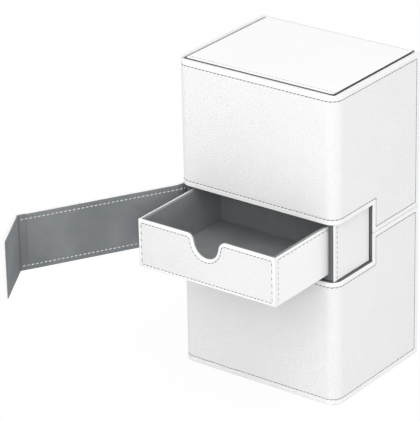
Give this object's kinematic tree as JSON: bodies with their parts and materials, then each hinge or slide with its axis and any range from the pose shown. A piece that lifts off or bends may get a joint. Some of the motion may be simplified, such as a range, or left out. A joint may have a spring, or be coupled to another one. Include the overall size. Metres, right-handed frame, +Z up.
{
  "type": "deck case",
  "caption": "Upright card case with an upper and a lower lidded compartment, a sliding drawer between them and a wrap-round flap that closes over the drawer.",
  "frame": {"origin": "centre of the footprint, on the surface that the case stands on", "axes": "+X to the right along the front, +Y to the back, +Z up"},
  "size_m": [0.1518, 0.1953, 0.1826],
  "materials": {
    "ribbed_skin": "white leatherette with a fine diagonal rib",
    "smooth_skin": "smooth white leatherette",
    "board": "charcoal paper-covered greyboard",
    "wrapped_board": "greyboard wrapped in grey microfibre",
    "lining": "grey microfibre",
    "steel": "nickel-plated, sealed inside the boards"
  },
  "bodies": {
    "case": {"upper_cover_skin": "ribbed_skin", "upper_cover_board": "board", "lower_cover_skin": "ribbed_skin", "lower_cover_board": "board", "upper_card_box": "board", "upper_card_lining": "lining", "lower_card_box": "board", "lower_card_lining": "lining", "drawer_sleeve": "wrapped_board", "sleeve_lining": "lining", "tab_seat_skin": "smooth_skin", "tab_keeper": "steel", "flap_anchor_skin": "ribbed_skin", "flap_anchor_board": "board", "spine_skin": "smooth_skin", "spine_board": "board", "upper_lid_keeper": "steel", "lower_lid_keeper": "steel", "flap_corner_fold": "ribbed_skin", "top_lid_fold": "smooth_skin", "bottom_lid_fold": "smooth_skin"},
    "drawer": {"drawer_tray": "board", "drawer_front_skin": "ribbed_skin", "drawer_left_skin": "smooth_skin", "drawer_right_skin": "smooth_skin", "drawer_back_skin": "smooth_skin", "drawer_lining": "lining"},
    "flap": {"flap_skin": "ribbed_skin", "flap_board": "board", "flap_lining": "lining", "tab_fold_strip": "ribbed_skin"},
    "tab": {"tab_skin": "ribbed_skin", "tab_board": "board", "tab_lining": "lining", "tab_magnet": "steel"},
    "top_lid": {"top_lid_skin": "smooth_skin", "top_lid_board": "board", "top_lid_lining": "lining", "top_lid_magnet_left": "steel", "top_lid_magnet_right": "steel"},
    "bottom_lid": {"bottom_lid_skin": "smooth_skin", "bottom_lid_board": "board", "bottom_lid_lining": "lining", "bottom_lid_magnet_left": "steel", "bottom_lid_magnet_right": "steel"}
  },
  "joints": [
    {"name": "top_lid_hinge", "type": "hinge", "parent": "case", "child": "top_lid", "pos_m": [0, 0.04065, 0.1826], "axis": [-1, 0, 0], "range_deg": [0, 250], "deforming": ["top_lid_fold"]},
    {"name": "bottom_lid_hinge", "type": "hinge", "parent": "case", "child": "bottom_lid", "pos_m": [0, 0.04065, 0], "axis": [1, 0, 0], "range_deg": [0, 250], "deforming": ["bottom_lid_fold"]},
    {"name": "drawer_slide", "type": "slide", "parent": "case", "child": "drawer", "axis": [0, -1, 0], "range_m": [-0.0489, 0.0255]},
    {"name": "flap_hinge", "type": "hinge", "parent": "case", "child": "flap", "pos_m": [-0.0505, -0.03875, 0.0913], "axis": [0, 0, -1], "range_deg": [-29.9, 80], "deforming": ["flap_corner_fold"]},
    {"name": "tab_fold", "type": "hinge", "parent": "flap", "child": "tab", "pos_m": [-0.10009, -0.12348, 0.0913], "axis": [0, 0, 1], "range_deg": [-59, 31], "deforming": ["tab_fold_strip"]}
  ]
}
